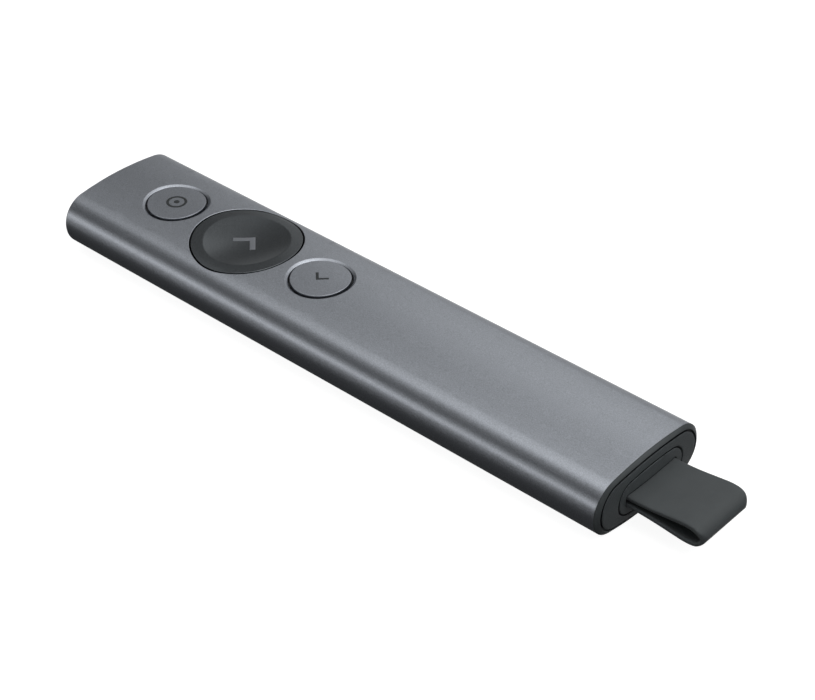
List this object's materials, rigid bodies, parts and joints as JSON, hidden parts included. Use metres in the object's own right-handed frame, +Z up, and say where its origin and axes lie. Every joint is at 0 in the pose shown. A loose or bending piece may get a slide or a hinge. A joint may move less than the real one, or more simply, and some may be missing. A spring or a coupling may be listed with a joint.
{
  "type": "presentation clicker",
  "caption": "Slim handheld wireless presentation remote: metal sleeve, press buttons for pointer, next and back, and a pull-out plug-in receiver with a rubber strap loop.",
  "frame": {"origin": "centre of the narrow flat land on the underside of the sleeve, on the surface it rests on, midway along the object without its strap", "axes": "+X from the front end with the buttons to the tail with the receiver and strap, +Z up through the button tops, +Y across"},
  "size_m": [0.1456, 0.0282, 0.0121],
  "materials": {
    "anodised_sleeve": "bead blasted and anodised, satin",
    "end_plastic": "fine spark-eroded texture",
    "button_plastic": "dark metallic lacquer, satin",
    "light_mark": "satin",
    "dark_mark": "satin",
    "strap_rubber": "matt silicone rubber",
    "chassis_plastic": "matt",
    "carrier_plastic": "matt",
    "spring_steel": "bare",
    "nickel_shell": "nickel plated",
    "screw_steel": "black oxide",
    "board_laminate": "solder resist",
    "chip_epoxy": "matt",
    "gold_contact": "gold plated",
    "battery_foil": "foil pouch",
    "tape_film": "film",
    "lead_jacket": "matt",
    "clear_pipe": "frosted end",
    "led_body": "gloss",
    "tongue_plastic": "matt",
    "copper_winding": "enamelled",
    "heavy_alloy": "sintered",
    "ceramic": "glazed"
  },
  "bodies": {
    "handset": {"body_sleeve": "anodised_sleeve", "front_bezel": "end_plastic", "front_cap": "end_plastic", "status_light_pipe": "clear_pipe", "status_led": "led_body", "tail_bezel": "end_plastic", "tail_cap": "end_plastic", "dock_well": "chassis_plastic", "dock_spring_clips": "spring_steel", "lower_chassis": "chassis_plastic", "button_guide": "chassis_plastic", "chassis_screws": "screw_steel", "main_board": "board_laminate", "radio_chip": "chip_epoxy", "motion_sensor": "chip_epoxy", "crystal": "nickel_shell", "chip_antenna": "ceramic", "charger_chip": "chip_epoxy", "switch_housings": "chassis_plastic", "switch_covers": "spring_steel", "pointer_switch_dome": "spring_steel", "next_switch_dome": "spring_steel", "back_switch_dome": "spring_steel", "battery_cell": "battery_foil", "battery_tape": "tape_film", "battery_leads": "lead_jacket", "charging_socket_shell": "nickel_shell", "charging_socket_tongue": "tongue_plastic", "motor_can": "nickel_shell", "motor_end_cap": "chassis_plastic", "motor_cradle": "carrier_plastic", "motor_leads": "lead_jacket"},
    "pointer_button": {"pointer_button_cap": "anodised_sleeve", "pointer_icon": "dark_mark", "pointer_carrier": "carrier_plastic", "pointer_switch_stem": "carrier_plastic"},
    "next_button": {"next_button_cap": "button_plastic", "next_icon": "light_mark", "next_carrier": "carrier_plastic", "next_switch_stem": "carrier_plastic"},
    "back_button": {"back_button_cap": "anodised_sleeve", "back_icon": "dark_mark", "back_carrier": "carrier_plastic", "back_switch_stem": "carrier_plastic"},
    "receiver": {"receiver_housing": "end_plastic", "receiver_collar": "end_plastic", "receiver_plug_shell": "nickel_shell", "receiver_plug_tongue": "tongue_plastic", "receiver_contacts": "gold_contact", "receiver_board": "board_laminate", "receiver_chip": "chip_epoxy", "strap_loop": "strap_rubber", "strap_pin": "screw_steel"},
    "motor_rotor": {"motor_shaft": "spring_steel", "motor_armature": "copper_winding", "motor_weight": "heavy_alloy"}
  },
  "joints": [
    {"name": "pointer_press", "type": "slide", "parent": "handset", "child": "pointer_button", "axis": [0, 0, -1], "range_m": [0, 0.00035], "stiffness_N_per_m": 400, "springref_m": -0.001, "deforming": ["pointer_switch_dome"]},
    {"name": "next_press", "type": "slide", "parent": "handset", "child": "next_button", "axis": [0, 0, -1], "range_m": [0, 0.00035], "stiffness_N_per_m": 400, "springref_m": -0.001, "deforming": ["next_switch_dome"]},
    {"name": "back_press", "type": "slide", "parent": "handset", "child": "back_button", "axis": [0, 0, -1], "range_m": [0, 0.00035], "stiffness_N_per_m": 400, "springref_m": -0.001, "deforming": ["back_switch_dome"]},
    {"name": "receiver_pull", "type": "slide", "parent": "handset", "child": "receiver", "axis": [1, 0, 0], "range_m": [0, 0.025]},
    {"name": "motor_spin", "type": "hinge", "parent": "handset", "child": "motor_rotor", "pos_m": [0.0065, 0, 0.0068], "axis": [1, 0, 0], "continuous": true}
  ]
}
